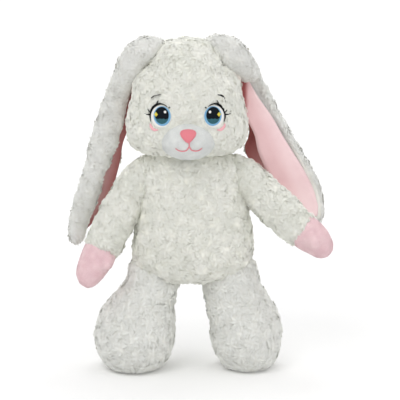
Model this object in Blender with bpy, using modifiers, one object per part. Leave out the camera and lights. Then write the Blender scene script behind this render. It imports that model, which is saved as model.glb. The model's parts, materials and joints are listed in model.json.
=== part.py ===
"""Stuffed bunny rabbit: sewn plush skins over separate wads of filling.

It stands about 0.4 m tall, faces -Y and has +Z up. Each limb, the head and both ears turn about
their own seams. Design lengths are in millimetres, measured from the torso's midline at floor level,
and are scaled to metres as each mesh is made. "left" is the side at -X.
"""
import math

import bmesh
import bpy
import numpy as np
from mathutils import Matrix, Vector

MM = 0.001

# Where the torso's midline stands, so that the origin is the middle of the whole toy's box
MIDLINE = Vector((-8.32, 6.58, 0.0))

# Cloth and clearances
SKIN = 2.0  # plush backing and the dense foot of its pile
GAP = 0.4  # between pieces that touch
STUFFING_INSET = SKIN + 0.6  # from a skin's outside to the filling inside it
THREAD = 1.2  # thickness of raised embroidery

# Torso: half width, half depth, height, centre depth, from the seat up to the neck
TORSO_PROFILE = [
    (0, 0, 73, -6), (34, 27, 76, -7), (59, 42, 96, -9), (70.5, 48, 130, -9), (65, 46.5, 166, -8),
    (55, 41, 202, -8), (43, 34, 234, -8), (29, 25, 249, -8), (18, 16, 255, -8), (0, 0, 257, -8),
]
CLOSING_SLOT = (146.0, 200.0)  # from height to height in the middle of the back
CLOSING_STITCH = (4.5, 2.6)  # rise of each stitch, reach to each side
TAIL_RADIUS = 19.0
TAIL_MOUTH = 10.0  # radius of its gathered rim
TAIL_HEIGHT = 118.0
LABEL_SIZE = Vector((1.2, 20.0, 26.0))
LABEL_PLACE = Vector((-49.0, 37.5, 132.0))
LABEL_TURN = math.radians(38)
NECK = Vector((-5, -9, 259))
NECK_BALL = 17.0

# Head: half width, half depth, height, from under the chin up to the crown
HEAD_MIDDLE = Vector((-8, -12, 0))
HEAD_PROFILE = [
    (0, 0, 260), (29, 25, 261), (53, 46, 266), (69, 57, 278), (74, 61, 298), (68.5, 60.5, 322),
    (63.5, 56, 345), (54, 47, 368), (34, 30, 387), (15, 13, 394.5), (0, 0, 396),
]
HEAD_SQUARENESS = 2.25  # 2 is an ellipse in plan

# Legs: half width, half depth, height, share of the foot's sideways and forward offset
HIP = Vector((45.5, -14, 96))  # mirrored for the left one
HIP_BALL = 35.0
LEG_PROFILE = [
    (30, 40, 2.6, 1.0, 1.0), (41, 50, 11, 1.0, 1.0), (45.5, 54, 29, 1.0, 1.0), (45.5, 53, 48, 1.0, 1.0),
    (42.5, 47, 67, 0.85, 0.8), (38, 40, 83, 0.42, 0.4), (35, 35, 96, 0.0, 0.0),
]
FOOT_OFFSET = {"left": Vector((-25.5, -12, 0)), "right": Vector((18.5, -6, 0))}
TOE_OUT = {"left": math.radians(-12), "right": math.radians(10)}
SOLE_THICKNESS = 2.2

# Arms: a path from the shoulder to the tip of the paw, and the roll of the paw about it
ARM_ROOT = 17.5
ARM_LENGTH = 158.0
ARM_RADII = [(0, 17.5), (12, 17.8), (30, 19.6), (60, 21.2), (90, 21.0), (106, 19.4)]
PAW_RADII = [(106, 19.4), (120, 19.8), (136, 19.0)]
PAW_END = 136.0
PAW_FLATNESS = 0.84
WRIST = 106.0
THUMB_AT = 128.0
THUMB_SIZE = Vector((9.5, 9.0, 13.0))
THUMB_OFFSET = (17.5, 1.5, 2.0)  # towards the body, forwards, back up the arm
THUMB_LEAN = 0.55
SHOULDER_KNOT = 8.5
ARM_BENDS = {
    "left": [(-52, -8, 239), (-80, -15, 211), (-107, -25, 158), (-129, -36, 104)],
    "right": [(52, -8, 238), (84, -22, 210), (120, -42, 183), (164, -66, 148)],
}
PAW_ROLL = {"left": math.radians(0), "right": math.radians(62)}

# Ears: the path of the middle of the blade, then its half widths
EAR_PATHS = {
    "left": [(-60, 4, 376), (-80, 13, 377), (-97, 18, 348), (-113, 20, 300), (-129, 21.6, 244),
             (-144, 22.4, 188), (-149, 21.2, 150)],
    "right": [(48, 3, 373), (64, 9, 366), (79, 14, 329), (94, 16, 289), (114, 17, 246),
              (132, 18, 204), (141, 18, 158)],
}
EAR_HALF_WIDTHS = [(0, 8.5), (0.1, 17), (0.25, 27), (0.5, 32), (0.75, 33), (0.9, 26), (0.97, 16), (1.0, 5)]
EAR_STATIONS = (0.035, 0.09, 0.15, 0.21, 0.28, 0.37, 0.47, 0.58, 0.69, 0.79, 0.88, 0.94, 0.98, 1.0)
EAR_SAMPLES = {
    "left": (-1, -0.667, -0.409, -0.218, -0.094, 0, 0.094, 0.218, 0.409, 0.667, 1),
    "right": (-1, -0.7, -0.5, -0.4, -0.3, -0.18, 0, 0.3, 0.55, 0.78, 1),
}
EAR_PANEL = 3.2
LINING_PANEL = 1.8
LINING_START = 0.2
LINING_END = 0.95
EAR_ROOT = 8.5

# Face, measured from the middle of the head
EYE_OFFSET = 30.4
EYE_HEIGHT = 305.0
EYE_WHITE = (11.7, 12.8)
IRIS = (9.6, 11.0)
PUPIL = (6.4, 6.6)
MUZZLE_HEIGHT = 281.5
MUZZLE_HALF = (29.0, 18.0)
MUZZLE_DOME = 11.0
NOSE_HEIGHT = 285.8
NOSE_HALF = (9.8, 7.0)

COLOURS = {
    "plush": ((0.86, 0.84, 0.78), 0.95),
    "filling": ((0.93, 0.93, 0.92), 1.0),
    "short_pile": ((0.88, 0.88, 0.86), 0.9),
    "pink_velour": ((0.86, 0.62, 0.63), 0.85),
    "pink_thread": ((0.87, 0.43, 0.44), 0.5),
    "blush_thread": ((0.93, 0.62, 0.6), 0.55),
    "white_thread": ((0.92, 0.92, 0.9), 0.5),
    "blue_thread": ((0.36, 0.62, 0.82), 0.45),
    "navy_thread": ((0.02, 0.03, 0.06), 0.45),
    "teal_thread": ((0.05, 0.22, 0.28), 0.45),
    "yellow_thread": ((0.82, 0.78, 0.36), 0.45),
    "black_thread": ((0.01, 0.01, 0.01), 0.45),
    "seam_thread": ((0.8, 0.79, 0.75), 0.6),
    "label_tape": ((0.9, 0.9, 0.9), 0.6),
}


def clear_scene():
    for old in list(bpy.data.objects):
        bpy.data.objects.remove(old, do_unlink=True)


def new_collection(name):
    made = bpy.data.collections.new(name)
    bpy.context.scene.collection.children.link(made)
    return made


def material(name):
    """The Principled material called name, made on first use."""
    if name in bpy.data.materials:
        return bpy.data.materials[name]
    colour, roughness = COLOURS[name]
    made = bpy.data.materials.new(name)
    made.use_nodes = True
    shader = made.node_tree.nodes["Principled BSDF"]
    shader.inputs["Base Color"].default_value = (*colour, 1.0)
    shader.inputs["Roughness"].default_value = roughness
    shader.inputs["Metallic"].default_value = 0.0
    return made


def through(stations, x):
    """The values at x of a smooth curve through stations of (x, value, value, ...)."""
    table = np.array(stations, float)
    i = int(np.clip(np.searchsorted(table[:, 0], x) - 1, 0, len(table) - 2))
    slopes = np.gradient(table[:, 1:], table[:, 0], axis=0)
    width = table[i + 1, 0] - table[i, 0]
    t = (x - table[i, 0]) / width
    return (
        (2 * t**3 - 3 * t**2 + 1) * table[i, 1:]
        + (t**3 - 2 * t**2 + t) * width * slopes[i]
        + (3 * t**2 - 2 * t**3) * table[i + 1, 1:]
        + (t**3 - t**2) * width * slopes[i + 1]
    )


def by_index(profile, at):
    """The values of a profile's smooth curve at a fractional index."""
    return through([(i, *values) for i, values in enumerate(profile)], at)


def add_object(name, bm, colour, origin=(0, 0, 0), smooth=True):
    """A part from a bmesh in design millimetres, with its origin at a design point."""
    origin = Vector(origin)
    bmesh.ops.translate(bm, vec=-origin, verts=bm.verts)
    bmesh.ops.scale(bm, vec=(MM, MM, MM), verts=bm.verts)
    mesh = bpy.data.meshes.new(name)
    bm.to_mesh(mesh)
    bm.free()
    part = bpy.data.objects.new(name, mesh)
    part.parent = toy
    part.location = origin * MM
    if colour:
        part.data.materials.append(material(colour))
        parts.objects.link(part)
    else:
        cutters.objects.link(part)
        part.hide_render = True
        part.display_type = "WIRE"
    if smooth:
        mesh.shade_smooth()
    return part


def loft(rings, start, end, opened=()):
    """A bmesh through rings of points, drawn in to a point at each end, then opened at "start" or "end"."""
    bm = bmesh.new()
    rows = [[bm.verts.new(p) for p in ring] for ring in rings]
    tips = {"start": bm.verts.new(start), "end": bm.verts.new(end)}
    count = len(rows[0])
    for i in range(count):
        j = (i + 1) % count
        for low, high in zip(rows, rows[1:]):
            bm.faces.new((low[i], low[j], high[j], high[i]))
        bm.faces.new((rows[0][j], rows[0][i], tips["start"]))
        bm.faces.new((rows[-1][i], rows[-1][j], tips["end"]))
    if bm.calc_volume(signed=True) < 0:
        bmesh.ops.reverse_faces(bm, faces=bm.faces)
    bmesh.ops.delete(bm, geom=[tips[name] for name in opened], context="VERTS")
    return bm


def solidify(part, thickness, outwards=False):
    shell = part.modifiers.new("cloth", "SOLIDIFY")
    shell.thickness = thickness * MM
    shell.offset = 1.0 if outwards else -1.0
    shell.use_even_offset = True


def draw_in(part, depth):
    """Moves a closed surface inwards along its normals."""
    inset = part.modifiers.new("inset", "DISPLACE")
    inset.mid_level = 0.0
    inset.strength = -depth * MM


def cut(part, *shapes):
    for shape in shapes:
        taken = part.modifiers.new("cut_" + shape.name, "BOOLEAN")
        taken.operation = "DIFFERENCE"
        taken.object = shape


def ball(name, centre, radius, colour=None, segments=18, rings=10):
    bm = bmesh.new()
    bmesh.ops.create_uvsphere(bm, u_segments=segments, v_segments=rings, radius=radius)
    bmesh.ops.translate(bm, vec=centre, verts=bm.verts)
    return add_object(name, bm, colour, origin=centre)


def rod(name, centre, axis, radius, length, segments=24):
    """A cutter: a cylinder that starts at centre and runs along axis."""
    bm = bmesh.new()
    bmesh.ops.create_cone(
        bm, cap_ends=True, segments=segments, radius1=radius, radius2=radius, depth=length
    )
    bmesh.ops.translate(bm, vec=(0, 0, length / 2), verts=bm.verts)
    turn = Vector((0, 0, 1)).rotation_difference(Vector(axis).normalized()).to_matrix()
    bmesh.ops.rotate(bm, cent=(0, 0, 0), matrix=turn, verts=bm.verts)
    bmesh.ops.translate(bm, vec=centre, verts=bm.verts)
    return add_object(name, bm, None, origin=centre)


def mirrored(side, point):
    """A right-hand design point on the named side."""
    return Vector((-point[0], point[1], point[2])) if side == "left" else Vector(point)


# ---------------------------------------------------------------- torso


def oval(half_width, half_depth, height, middle, count, turned=0.0, squareness=2.0):
    """One level ring of points, counter-clockwise seen from above."""
    ring = []
    for i in range(count):
        angle = 2 * math.pi * (i + 0.5) / count
        c, s = math.cos(angle), math.sin(angle)
        reach = (abs(c) ** squareness + abs(s) ** squareness) ** (-1 / squareness)
        x, y = half_width * c * reach, half_depth * s * reach
        ring.append(
            (
                middle[0] + x * math.cos(turned) - y * math.sin(turned),
                middle[1] + x * math.sin(turned) + y * math.cos(turned),
                height,
            )
        )
    return ring


def torso_rings(levels, count):
    rings = []
    for at in np.linspace(0.55, len(TORSO_PROFILE) - 2, levels):
        width, depth, height, middle = by_index(TORSO_PROFILE, at)
        rings.append(oval(width, depth, height, (0, middle), count=count))
    return rings


def hip_cutters(side):
    """The space that a thigh sweeps through the seat, from behind the toy to sitting."""
    centre = mirrored(side, HIP)
    clear = HIP_BALL + 0.9
    back, front = math.radians(-24), math.radians(84)
    shapes = [ball(f"hip_space_{side}", centre, clear, segments=20, rings=12)]
    for label, swing in (("back", back), ("front", front)):
        direction = (0, -math.sin(swing), -math.cos(swing))
        shapes.append(rod(f"thigh_{label}_{side}", centre, direction, clear - 0.21, 110, segments=20))
    fan = bmesh.new()
    reach = 120.0
    angles = [back + (front - back) * i / 6 for i in range(7)]
    outline = [(0.0, 0.0)] + [(-reach * math.sin(a), -reach * math.cos(a)) for a in angles]
    walls = [
        [fan.verts.new((centre.x + x, centre.y + y, centre.z + z)) for y, z in outline]
        for x in (0.37 - clear, clear - 0.37)
    ]
    fan.faces.new(walls[0])
    fan.faces.new(walls[1][::-1])
    for i in range(len(outline)):
        j = (i + 1) % len(outline)
        fan.faces.new((walls[0][j], walls[0][i], walls[1][i], walls[1][j]))
    bmesh.ops.recalc_face_normals(fan, faces=fan.faces)
    shapes.append(add_object(f"thigh_fan_{side}", fan, None, origin=centre, smooth=False))
    return shapes


def torso():
    seat = (0, TORSO_PROFILE[0][3], TORSO_PROFILE[0][2])
    top = (0, TORSO_PROFILE[-1][3], TORSO_PROFILE[-1][2])
    skin = add_object("torso_skin", loft(torso_rings(12, 20), seat, top, ["end"]), "plush")
    solidify(skin, SKIN)
    filling = add_object("torso_filling", loft(torso_rings(12, 20), seat, top), "filling")
    draw_in(filling, STUFFING_INSET)
    neck_space = ball("neck_space_torso", NECK, NECK_BALL + 0.9)
    for side in SIDES:
        shoulder = Vector(ARM_BENDS[side][0])
        arm_space = ball(f"shoulder_space_{side}", shoulder, ARM_ROOT + 0.9, segments=18, rings=12)
        armpit = rod(f"armpit_{side}", shoulder, arm_frame(side, 12)[1], ARM_ROOT + 2.6, 45, segments=20)
        thighs = hip_cutters(side)
        for piece in (skin, filling):
            cut(piece, arm_space, armpit, *thighs)
    for piece in (skin, filling):
        cut(piece, neck_space)


def torso_back(height):
    """How far back the torso's skin reaches at a height, on the midline."""
    steps = np.linspace(0.5, len(TORSO_PROFILE) - 2, 200)
    levels = np.array([by_index(TORSO_PROFILE, s) for s in steps])
    nearest = levels[np.argmin(abs(levels[:, 2] - height))]
    return nearest[3] + nearest[1]


def closing_thread():
    """The ladder stitch that shuts the filling slot in the middle of the back."""
    low, high = CLOSING_SLOT
    stitch, reach = CLOSING_STITCH
    count = int((high - low) / stitch)
    line = bpy.data.curves.new("closing_thread", "CURVE")
    line.dimensions = "3D"
    line.bevel_depth = 0.5 * MM
    line.bevel_resolution = 1
    line.resolution_u = 1
    line.render_resolution_u = 0
    line.use_fill_caps = True
    run = line.splines.new("POLY")
    run.points.add(count)
    for i in range(count + 1):
        height = low + i * stitch
        x = reach if i % 2 else -reach
        run.points[i].co = (x * MM, (torso_back(height) + 1.4) * MM, height * MM, 1.0)
    thread = bpy.data.objects.new("closing_thread", line)
    thread.parent = toy
    line.materials.append(material("seam_thread"))
    parts.objects.link(thread)


def tail():
    """A pompom: a gathered disc of plush over its own filling, sewn on above the seat."""
    radius = TAIL_RADIUS
    hidden = math.sqrt(radius**2 - TAIL_MOUTH**2)
    middle = Vector((0, torso_back(TAIL_HEIGHT) + 1.2 + hidden, TAIL_HEIGHT))
    rings, count = [], 12
    for polar in np.linspace(math.asin(TAIL_MOUTH / radius), math.pi - 0.35, 6):
        ring = []
        for i in range(count):
            turn = 2 * math.pi * i / count
            across = radius * math.sin(polar)
            outward = Vector((across * math.sin(turn), -radius * math.cos(polar), across * math.cos(turn)))
            ring.append(middle + outward)
        rings.append(ring)
    tip = middle + Vector((0, radius, 0))
    root = middle + Vector((0, -hidden, 0))
    skin = add_object("tail_skin", loft(rings, root, tip, ["start"]), "plush", origin=middle)
    solidify(skin, SKIN)
    filling = add_object("tail_filling", loft(rings, root, tip), "filling", origin=middle)
    draw_in(filling, STUFFING_INSET)


def care_label():
    """A blank folded tape in the side seam, low on the back."""
    bm = bmesh.new()
    bmesh.ops.create_cube(bm, size=1.0)
    bmesh.ops.scale(bm, vec=LABEL_SIZE, verts=bm.verts)
    turn = Matrix.Rotation(LABEL_TURN, 3, "Z")
    bmesh.ops.rotate(bm, cent=(0, 0, 0), matrix=turn, verts=bm.verts)
    bmesh.ops.translate(bm, vec=LABEL_PLACE, verts=bm.verts)
    add_object("care_label", bm, "label_tape", origin=LABEL_PLACE, smooth=False)


# ---------------------------------------------------------------- head


def head_level(at):
    width, depth, height = by_index(HEAD_PROFILE, at)
    return width, depth, height


FACE_LEVELS = np.array([head_level(at) for at in np.linspace(1.0, len(HEAD_PROFILE) - 1.5, 200)])


def head_depth(x, z):
    """The depth of the face's surface at a design x and height."""
    width = np.interp(z, FACE_LEVELS[:, 2], FACE_LEVELS[:, 0])
    depth = np.interp(z, FACE_LEVELS[:, 2], FACE_LEVELS[:, 1])
    share = min(abs(x - HEAD_MIDDLE.x) / width, 0.98)
    return HEAD_MIDDLE.y - depth * (1 - share**HEAD_SQUARENESS) ** (1 / HEAD_SQUARENESS)


def head_front(x, z, lift=0.0):
    """The depth of a surface that stands lift millimetres off the face, measured square to it."""
    here = head_depth(x, z)
    slope = math.hypot(head_depth(x + 0.5, z) - here, head_depth(x, z + 0.5) - here) / 0.5
    return here - lift * math.hypot(1.0, min(slope, 4.0))


def muzzle_reach(x, z):
    """0 at the muzzle's middle, 1 at its seam; the top of the patch is narrower than its cheeks."""
    across = (x - HEAD_MIDDLE.x) / MUZZLE_HALF[0]
    up = (z - MUZZLE_HEIGHT) / MUZZLE_HALF[1]
    narrowed = across / (1 - 0.16 * up)
    return math.hypot(narrowed, up)


def muzzle_front(x, z, lift=0.0):
    rise = max(0.0, 1 - muzzle_reach(x, z) ** 2.4)
    return head_front(x, z, GAP + THREAD) - MUZZLE_DOME * rise**0.8 - lift


def patch(name, centre, half, surface, lift, colour, shape=None, thickness=0.5, rings=2, count=12):
    """A stitched patch that follows a surface; shape(angle) scales its outline."""
    bm = bmesh.new()
    middle = bm.verts.new((centre[0], surface(*centre, lift), centre[1]))
    rows = []
    for k in range(1, rings + 1):
        row = []
        for i in range(count):
            angle = 2 * math.pi * i / count
            scale = (k / rings) * (shape(angle) if shape else 1.0)
            x = centre[0] + half[0] * math.cos(angle) * scale
            z = centre[1] + half[1] * math.sin(angle) * scale
            row.append(bm.verts.new((x, surface(x, z, lift), z)))
        rows.append(row)
    for i in range(count):
        j = (i + 1) % count
        bm.faces.new((middle, rows[0][i], rows[0][j]))
        for low, high in zip(rows, rows[1:]):
            bm.faces.new((low[i], high[i], high[j], low[j]))
    part = add_object(name, bm, colour, origin=(centre[0], surface(*centre), centre[1]))
    solidify(part, thickness, outwards=True)
    return part


def ribbon(name, line, widths, surface, lift, colour, thickness=0.6):
    """A band of satin stitch along a line of (x, z) points on a surface, running left to right."""
    bm = bmesh.new()
    edges = []
    for i, (x, z) in enumerate(line):
        ahead = line[min(i + 1, len(line) - 1)]
        behind = line[max(i - 1, 0)]
        along = Vector((ahead[0] - behind[0], ahead[1] - behind[1])).normalized()
        across = Vector((-along.y, along.x)) * widths[i] / 2
        pair = [(x - across.x, z - across.y), (x + across.x, z + across.y)]
        edges.append([bm.verts.new((px, surface(px, pz, lift), pz)) for px, pz in pair])
    for a, b in zip(edges, edges[1:]):
        bm.faces.new((a[0], b[0], b[1], a[1]))
    middle = line[len(line) // 2]
    part = add_object(name, bm, colour, origin=(middle[0], surface(*middle), middle[1]))
    solidify(part, thickness, outwards=True)
    return part


def around(centre, half, start, stop, count):
    """Points on an oval from one angle to another, in degrees from +X."""
    angles = [math.radians(start + (stop - start) * i / (count - 1)) for i in range(count)]
    return [(centre[0] + half[0] * math.cos(a), centre[1] + half[1] * math.sin(a)) for a in angles]


def eye(side):
    out = -1 if side == "left" else 1
    middle = (HEAD_MIDDLE.x + out * EYE_OFFSET, EYE_HEIGHT)
    iris_middle = (middle[0] - out * 1.2, middle[1] + 0.8)
    pupil_middle = (iris_middle[0], iris_middle[1] + 1.8)
    step = GAP + 0.5
    patch(f"eye_white_{side}", middle, EYE_WHITE, head_front, GAP, "white_thread")
    patch(f"eye_iris_{side}", iris_middle, IRIS, head_front, GAP + step, "blue_thread")
    patch(f"eye_pupil_{side}", pupil_middle, PUPIL, head_front, GAP + 2 * step, "navy_thread")
    glow = around(pupil_middle, (PUPIL[0] + 1.2, PUPIL[1] + 1.4), 215, 325, 9)
    glow_widths = [0.6 + 1.2 * math.sin(math.pi * i / 8) for i in range(9)]
    ribbon(f"eye_glow_{side}", glow, glow_widths, head_front, GAP + 2 * step, "teal_thread", thickness=0.5)
    spark = (middle[0] + out * 5.6, middle[1] + 2.6)
    top = GAP + 3 * step
    patch(f"eye_spark_{side}", spark, (1.6, 2.2), head_front, top, "yellow_thread", rings=1, count=8)
    glint = (middle[0] - out * 4.2, middle[1] + 5.4)
    patch(f"eye_glint_{side}", glint, (1.2, 1.4), head_front, top, "white_thread", rings=1, count=8)
    reach = (EYE_WHITE[0] + 1.5, EYE_WHITE[1] + 1.5)
    lash = around(middle, reach, 210 if out < 0 else 60, 120 if out < 0 else -30, 12)
    thick = [1.0 + 1.4 * math.sin(math.pi * (0.15 + 0.7 * i / 11)) for i in range(12)]
    ribbon(f"eye_lash_{side}", lash, thick, head_front, GAP, "black_thread")
    brow_middle = (middle[0] + out * 3.0, middle[1] + 13.5)
    brow = around(brow_middle, (9.0, 8.0), 118 + 22 * out * -1, 62 + 22 * out * -1, 7)
    ribbon(f"eye_brow_{side}", brow, [0.9, 1.2, 1.4, 1.5, 1.4, 1.2, 0.9], head_front, GAP, "black_thread")
    blush_middle = (middle[0] + out * 7.5, middle[1] - 14.5)
    patch(f"eye_blush_{side}", blush_middle, (5.0, 2.2), head_front, GAP, "blush_thread", rings=1, count=10)


def nose_shape(angle):
    """A soft triangle, point down."""
    return 0.86 + 0.14 * math.cos(3 * (angle - math.pi / 6))


def muzzle():
    centre = (HEAD_MIDDLE.x, MUZZLE_HEIGHT)
    count, ring_count = 20, 5
    front, back = [], []
    for k in range(1, ring_count + 1):
        share = math.sin(math.pi / 2 * k / ring_count)
        front_ring, back_ring = [], []
        for i in range(count):
            angle = 2 * math.pi * i / count
            up = math.sin(angle) * share
            x = centre[0] + MUZZLE_HALF[0] * math.cos(angle) * share * (1 - 0.16 * up)
            z = centre[1] + MUZZLE_HALF[1] * up
            front_ring.append((x, muzzle_front(x, z), z))
            back_ring.append((x, head_front(x, z, GAP), z))
        front.append(front_ring)
        back.append(back_ring)
    rings = back + front[::-1]
    start = (centre[0], head_front(*centre, GAP), centre[1])
    end = (centre[0], muzzle_front(*centre), centre[1])
    add_object("muzzle", loft(rings, start, end), "short_pile", origin=start)
    nose = (HEAD_MIDDLE.x + 1.0, NOSE_HEIGHT)
    patch("nose", nose, NOSE_HALF, muzzle_front, GAP, "pink_thread", nose_shape, thickness=2.2, count=18)
    lip = HEAD_MIDDLE.x + 1.8
    drop = [(lip, NOSE_HEIGHT - down) for down in (8.2, 10.0, 11.8)]
    ribbon("lip_stitch", drop, [1.5] * 3, muzzle_front, GAP, "pink_thread", thickness=0.8)
    half_smile = [(3, -0.9), (7, -2.0), (11, -1.4), (15, 0.6)]
    smile = [(-x, z) for x, z in half_smile[::-1]] + [(0, 0.6)] + half_smile
    line = [(lip + x, NOSE_HEIGHT - 13.8 + z) for x, z in smile]
    ribbon("mouth_stitch", line, [1.5] * len(line), muzzle_front, GAP, "pink_thread", thickness=0.8)


def head_rings(levels, count):
    rings = []
    for at in np.linspace(1.0, len(HEAD_PROFILE) - 1.45, levels):
        width, depth, height = head_level(at)
        rings.append(oval(width, depth, height, HEAD_MIDDLE, count, squareness=HEAD_SQUARENESS))
    return rings


def head():
    crown = (HEAD_MIDDLE.x, HEAD_MIDDLE.y, HEAD_PROFILE[-1][2])
    chin = (HEAD_MIDDLE.x, HEAD_MIDDLE.y, HEAD_PROFILE[0][2])
    skin = add_object("head_skin", loft(head_rings(13, 24), chin, crown, ["start"]), "plush", origin=NECK)
    solidify(skin, SKIN)
    filling = add_object("head_filling", loft(head_rings(13, 24), chin, crown), "filling", origin=NECK)
    draw_in(filling, STUFFING_INSET)
    neck_space = ball("neck_space_head", NECK, NECK_BALL + 0.9)
    cut(skin, neck_space)
    cut(filling, neck_space)
    for side in SIDES:
        root = Vector(EAR_PATHS[side][0])
        ear_space = ball(f"ear_space_{side}", root, EAR_ROOT + 1.0, segments=16, rings=10)
        cut(skin, ear_space)
        cut(filling, ear_space)
    ball("neck_filling", NECK, NECK_BALL, "filling", segments=14, rings=8)
    muzzle()
    for side in SIDES:
        eye(side)


# ---------------------------------------------------------------- ears


def ear_frame(side, t):
    """Where the blade's middle is, the way it runs, and the way across it towards the body."""
    path = EAR_PATHS[side]
    at = t * (len(path) - 1)
    here = Vector(by_index(path, at))
    step = 0.05
    ahead = Vector(by_index(path, min(at + step, len(path) - 1)))
    behind = Vector(by_index(path, max(at - step, 0)))
    along = (ahead - behind).normalized()
    front = Vector((0, -1, 0))
    inward = front.cross(along) if side == "left" else along.cross(front)
    return here, inward.normalized(), front


def ear_angle(side, half, u):
    """The way the blade's section runs at u, from -1 at its rear edge to 1; 0 degrees is frontwards."""
    if side == "left":  # folded in half lengthwise, lining inside
        return math.radians(80) * math.tanh(u * half / 9.0)
    fold = 0.5 - 0.5 * math.tanh((u + 0.35) / 0.12)
    rolled = max(0.0, (u - 0.45) / 0.55)
    return math.radians(-90 + 52 * fold - 46 * rolled**1.5)


def ear_section(side, t, start, stop):
    """Points and lining-side normals across the blade, between two values of u."""
    here, inward, front = ear_frame(side, t)
    half = float(through(EAR_HALF_WIDTHS, t)[0])
    samples = np.linspace(-1, 1, 81)
    angles = np.array([ear_angle(side, half, u) for u in samples])
    step = half * (samples[1] - samples[0])
    forward = np.concatenate([[0], np.cumsum(np.cos((angles[1:] + angles[:-1]) / 2) * step)])
    across = np.concatenate([[0], np.cumsum(np.sin((angles[1:] + angles[:-1]) / 2) * step)])
    forward -= forward[40]
    across -= across[40]
    out = []
    for share in EAR_SAMPLES[side]:
        u = share * (stop if share > 0 else -start)
        f, a = np.interp(u, samples, forward), np.interp(u, samples, across)
        angle = np.interp(u, samples, angles)
        point = here + front * float(f) + inward * float(a)
        normal = front * -math.sin(angle) + inward * math.cos(angle)
        out.append((point, normal))
    return out


def blade(side, stations, across, lift, thickness):
    """A closed thin loft: up one face of each section and back down the other."""
    rings = []
    for t in stations:
        start, stop = across(t)
        section = ear_section(side, t, start, stop)
        far = [p + n * (lift + thickness) for p, n in section]
        near = [p + n * lift for p, n in section]
        rings.append(near + far[::-1])
    first = sum(rings[0], Vector()) / len(rings[0])
    last = sum(rings[-1], Vector()) / len(rings[-1])
    return loft(rings, first, last)


def ear(side):
    root = Vector(EAR_PATHS[side][0])
    panel = blade(side, EAR_STATIONS, lambda t: (-1, 1), -EAR_PANEL / 2, EAR_PANEL)
    add_object(f"ear_plush_{side}", panel, "plush", origin=root)
    low, high = (-0.9, 0.9) if side == "left" else (-0.92, 0.56)
    lined_stations = [t for t in EAR_STATIONS if LINING_START <= t <= LINING_END]

    def lined(t):
        """The lining's two edges; it narrows to 0.6 of its width at the root and at the tip."""
        rise = min(1.0, 0.4 + (t - LINING_START) * 5, 0.4 + (LINING_END - t) * 9)
        taper = math.sin(math.pi / 2 * rise)
        return low * taper, high * taper

    lining = blade(side, lined_stations, lined, EAR_PANEL / 2 + 2 * GAP, LINING_PANEL)
    add_object(f"ear_lining_{side}", lining, "pink_velour", origin=root)


# ---------------------------------------------------------------- arms


def bezier(points, t):
    a, b, c, d = (Vector(p) for p in points)
    s = 1 - t
    return a * s**3 + b * (3 * s * s * t) + c * (3 * s * t * t) + d * t**3


def arm_frame(side, s):
    """The point s millimetres down the arm, the way it runs, and two directions across it."""
    points = ARM_BENDS[side]
    samples = [bezier(points, i / 60) for i in range(61)]
    lengths = np.concatenate([[0], np.cumsum([(b - a).length for a, b in zip(samples, samples[1:])])])
    scaled = max(s, 0.0) / ARM_LENGTH * lengths[-1]
    t = float(np.interp(scaled, lengths, np.linspace(0, 1, 61)))
    here = bezier(points, t)
    along = (bezier(points, min(t + 0.01, 1.0)) - bezier(points, max(t - 0.01, 0.0))).normalized()
    if s < 0:
        here = here + along * s
    side_way = along.cross(Vector((0, 1, 0))).normalized()
    facing = side_way.cross(along).normalized()
    turn = Matrix.Rotation(PAW_ROLL[side] * min(max(s, 0) / WRIST, 1.0), 3, along)
    return here, along, turn @ side_way, turn @ facing


def arm_radii(s):
    """Half width and half thickness of the arm or the paw at s."""
    if s < 0:
        round_end = math.sqrt(max(ARM_ROOT**2 - s**2, 0.0))
        return round_end, round_end
    if s <= WRIST:
        radius = float(through(ARM_RADII, s)[0])
        flat = 1 - (1 - PAW_FLATNESS) * (s / WRIST) ** 3
        return radius, radius * flat
    if s <= PAW_END:
        radius = float(through(PAW_RADII, s)[0])
    else:
        share = (s - PAW_END) / (ARM_LENGTH - PAW_END)
        radius = PAW_RADII[-1][1] * math.sqrt(max(1 - share**2, 0.0))
    return radius, radius * PAW_FLATNESS


def arm_ring(side, s, count):
    here, _, width_way, thick_way = arm_frame(side, s)
    width, thick = arm_radii(s)
    ring = []
    for i in range(count):
        angle = 2 * math.pi * i / count
        ring.append(here + width_way * (width * math.cos(angle)) + thick_way * (thick * math.sin(angle)))
    return ring


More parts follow.
